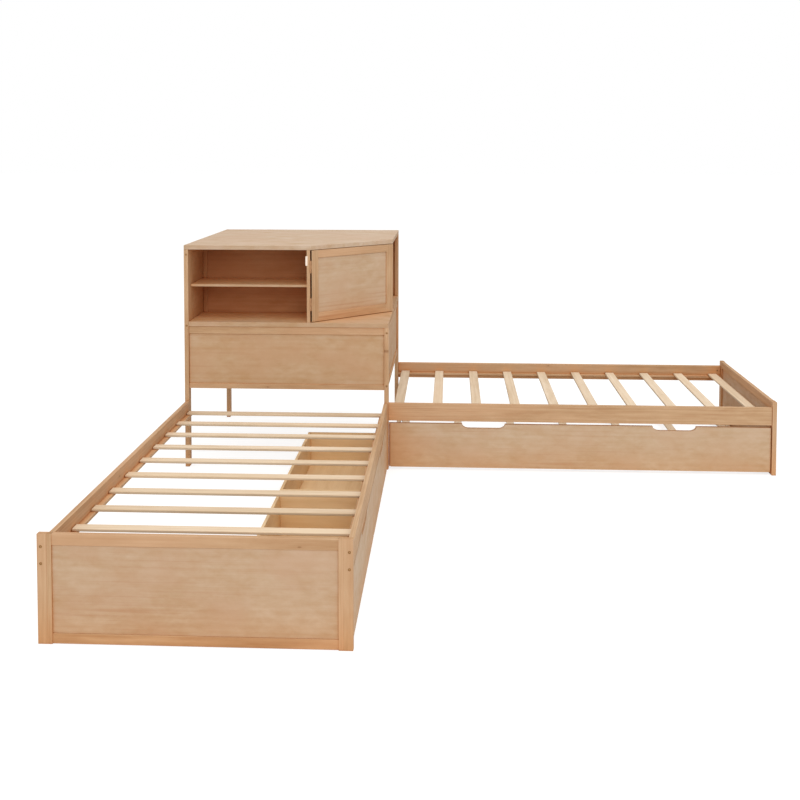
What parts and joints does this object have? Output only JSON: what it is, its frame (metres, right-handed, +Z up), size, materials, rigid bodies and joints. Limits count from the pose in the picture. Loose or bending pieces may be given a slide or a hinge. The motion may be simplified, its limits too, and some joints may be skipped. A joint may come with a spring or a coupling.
{
  "type": "l-shaped floor bed",
  "caption": "Platform beds set in an L round a raised corner cabinet with open shelves and a diagonal door, with rolling drawers and a low pull-out bed underneath.",
  "frame": {"origin": "on the floor, at the middle of the square that the L stands in", "axes": "+Z up, +X along the right bed away from the cabinet, -Y along the left bed away from the cabinet"},
  "size_m": [3.0328, 3.0328, 1.1593],
  "materials": {
    "frame_wood": "clear satin lacquer on pale brown wood",
    "slat_wood": "plain planed pale wood",
    "hinge_metal": "bronzed steel",
    "wheel_plastic": "dark plastic"
  },
  "bodies": {
    "bed_and_cabinet": {"front_left_post": "frame_wood", "front_right_post": "frame_wood", "rear_left_post": "frame_wood", "rear_right_post": "frame_wood", "left_bed_outer_rail": "frame_wood", "left_bed_drawer_side_rail": "frame_wood", "right_bed_trundle_side_rail": "frame_wood", "right_bed_back_rail": "frame_wood", "left_bed_footboard": "frame_wood", "right_bed_footboard": "frame_wood", "front_headboard": "frame_wood", "right_headboard": "frame_wood", "cabinet_side_panel": "frame_wood", "cabinet_back_panel": "frame_wood", "cabinet_floor": "frame_wood", "cabinet_top": "frame_wood", "left_divider": "frame_wood", "right_divider": "frame_wood", "inner_back": "frame_wood", "front_shelf": "frame_wood", "right_shelf": "frame_wood", "lower_hinge_frame_leaf": "hinge_metal", "upper_hinge_frame_leaf": "hinge_metal", "left_bed_slat_01": "slat_wood", "left_bed_slat_02": "slat_wood", "left_bed_slat_03": "slat_wood", "left_bed_slat_04": "slat_wood", "left_bed_slat_05": "slat_wood", "left_bed_slat_06": "slat_wood", "left_bed_slat_07": "slat_wood", "left_bed_slat_08": "slat_wood", "left_bed_slat_09": "slat_wood", "left_bed_slat_10": "slat_wood", "right_bed_slat_01": "slat_wood", "right_bed_slat_02": "slat_wood", "right_bed_slat_03": "slat_wood", "right_bed_slat_04": "slat_wood", "right_bed_slat_05": "slat_wood", "right_bed_slat_06": "slat_wood", "right_bed_slat_07": "slat_wood", "right_bed_slat_08": "slat_wood", "right_bed_slat_09": "slat_wood", "right_bed_slat_10": "slat_wood"},
    "door": {"cabinet_door": "frame_wood"},
    "far_drawer": {"far_drawer": "frame_wood"},
    "near_drawer": {"near_drawer": "frame_wood"},
    "trundle": {"trundle_front": "frame_wood", "trundle_frame": "slat_wood"},
    "far_drawer_wheel_1": {"far_drawer_wheel_1": "wheel_plastic"},
    "far_drawer_wheel_2": {"far_drawer_wheel_2": "wheel_plastic"},
    "far_drawer_wheel_3": {"far_drawer_wheel_3": "wheel_plastic"},
    "far_drawer_wheel_4": {"far_drawer_wheel_4": "wheel_plastic"},
    "near_drawer_wheel_1": {"near_drawer_wheel_1": "wheel_plastic"},
    "near_drawer_wheel_2": {"near_drawer_wheel_2": "wheel_plastic"},
    "near_drawer_wheel_3": {"near_drawer_wheel_3": "wheel_plastic"},
    "near_drawer_wheel_4": {"near_drawer_wheel_4": "wheel_plastic"},
    "trundle_wheel_1": {"trundle_wheel_1": "wheel_plastic"},
    "trundle_wheel_2": {"trundle_wheel_2": "wheel_plastic"},
    "trundle_wheel_3": {"trundle_wheel_3": "wheel_plastic"},
    "trundle_wheel_4": {"trundle_wheel_4": "wheel_plastic"}
  },
  "joints": [
    {"name": "door_hinge", "type": "hinge", "parent": "bed_and_cabinet", "child": "door", "pos_m": [-0.85635, 0.45435, 0.95], "axis": [0, 0, -1], "range_deg": [0, 110]},
    {"name": "far_drawer_slide", "type": "slide", "parent": "bed_and_cabinet", "child": "far_drawer", "axis": [1, 0, 0], "range_m": [0, 0.38]},
    {"name": "near_drawer_slide", "type": "slide", "parent": "bed_and_cabinet", "child": "near_drawer", "axis": [1, 0, 0], "range_m": [0, 0.38]},
    {"name": "trundle_slide", "type": "slide", "parent": "bed_and_cabinet", "child": "trundle", "axis": [0, 1, 0], "range_m": [-0.95, 0]},
    {"name": "far_drawer_wheel_1_spin", "type": "hinge", "parent": "far_drawer", "child": "far_drawer_wheel_1", "pos_m": [-0.52515, -0.5038, 0.02], "axis": [0, 1, 0], "continuous": true},
    {"name": "far_drawer_wheel_2_spin", "type": "hinge", "parent": "far_drawer", "child": "far_drawer_wheel_2", "pos_m": [-0.52515, 0.43965, 0.02], "axis": [0, 1, 0], "continuous": true},
    {"name": "far_drawer_wheel_3_spin", "type": "hinge", "parent": "far_drawer", "child": "far_drawer_wheel_3", "pos_m": [-0.82215, -0.5038, 0.02], "axis": [0, 1, 0], "continuous": true},
    {"name": "far_drawer_wheel_4_spin", "type": "hinge", "parent": "far_drawer", "child": "far_drawer_wheel_4", "pos_m": [-0.82215, 0.43965, 0.02], "axis": [0, 1, 0], "continuous": true},
    {"name": "near_drawer_wheel_1_spin", "type": "hinge", "parent": "near_drawer", "child": "near_drawer_wheel_1", "pos_m": [-0.52515, -1.47765, 0.02], "axis": [0, 1, 0], "continuous": true},
    {"name": "near_drawer_wheel_2_spin", "type": "hinge", "parent": "near_drawer", "child": "near_drawer_wheel_2", "pos_m": [-0.52515, -0.5342, 0.02], "axis": [0, 1, 0], "continuous": true},
    {"name": "near_drawer_wheel_3_spin", "type": "hinge", "parent": "near_drawer", "child": "near_drawer_wheel_3", "pos_m": [-0.82215, -1.47765, 0.02], "axis": [0, 1, 0], "continuous": true},
    {"name": "near_drawer_wheel_4_spin", "type": "hinge", "parent": "near_drawer", "child": "near_drawer_wheel_4", "pos_m": [-0.82215, -0.5342, 0.02], "axis": [0, 1, 0], "continuous": true},
    {"name": "trundle_wheel_1_spin", "type": "hinge", "parent": "trundle", "child": "trundle_wheel_1", "pos_m": [-0.42405, 0.54445, 0.02], "axis": [1, 0, 0], "continuous": true},
    {"name": "trundle_wheel_2_spin", "type": "hinge", "parent": "trundle", "child": "trundle_wheel_2", "pos_m": [1.46205, 0.54445, 0.02], "axis": [1, 0, 0], "continuous": true},
    {"name": "trundle_wheel_3_spin", "type": "hinge", "parent": "trundle", "child": "trundle_wheel_3", "pos_m": [-0.42405, 1.42715, 0.02], "axis": [1, 0, 0], "continuous": true},
    {"name": "trundle_wheel_4_spin", "type": "hinge", "parent": "trundle", "child": "trundle_wheel_4", "pos_m": [1.46205, 1.42715, 0.02], "axis": [1, 0, 0], "continuous": true}
  ]
}
